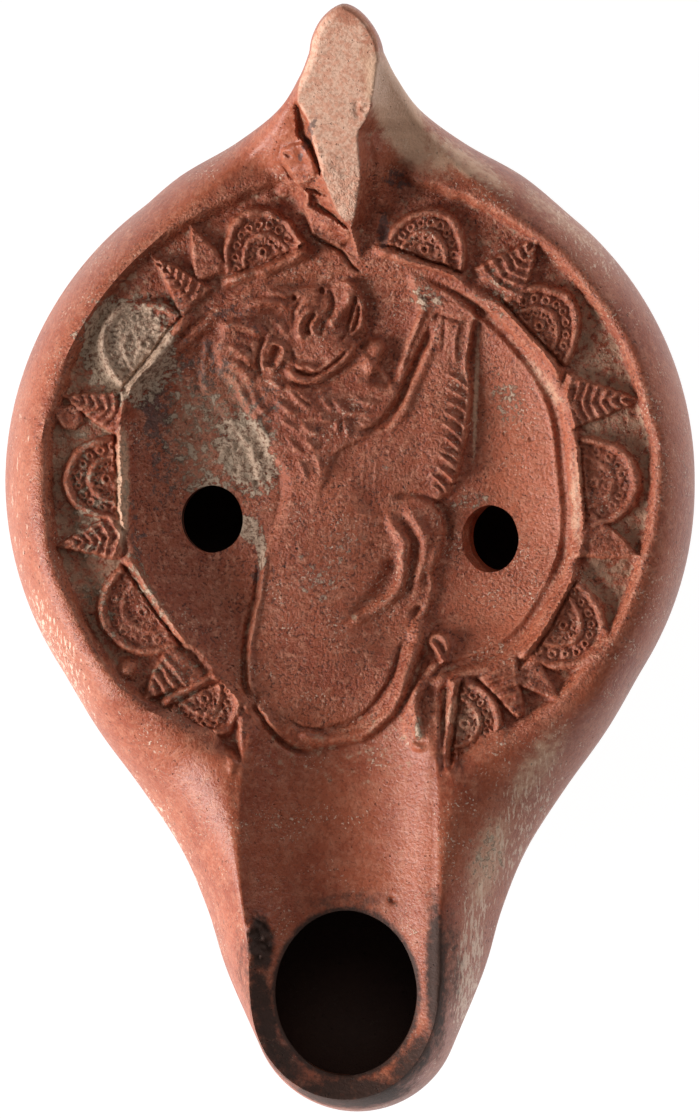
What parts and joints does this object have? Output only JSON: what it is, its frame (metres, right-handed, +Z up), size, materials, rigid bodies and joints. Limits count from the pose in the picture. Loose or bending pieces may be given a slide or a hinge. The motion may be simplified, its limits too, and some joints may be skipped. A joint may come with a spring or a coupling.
{
  "type": "oil lamp",
  "caption": "Mould-made pottery oil lamp with channelled nozzle, lion discus, stamped band, two filling holes and a solid lug handle.",
  "frame": {"origin": "centre of the bounding box on the plane the foot ring stands on", "axes": "+Y towards the handle, -Y towards the nozzle, +Z up, +X to the right seen from above with the handle at the top"},
  "size_m": [0.0874, 0.1398, 0.049],
  "materials": {
    "clay": "satin"
  },
  "bodies": {
    "root": {"lamp": "clay"}
  },
  "joints": []
}
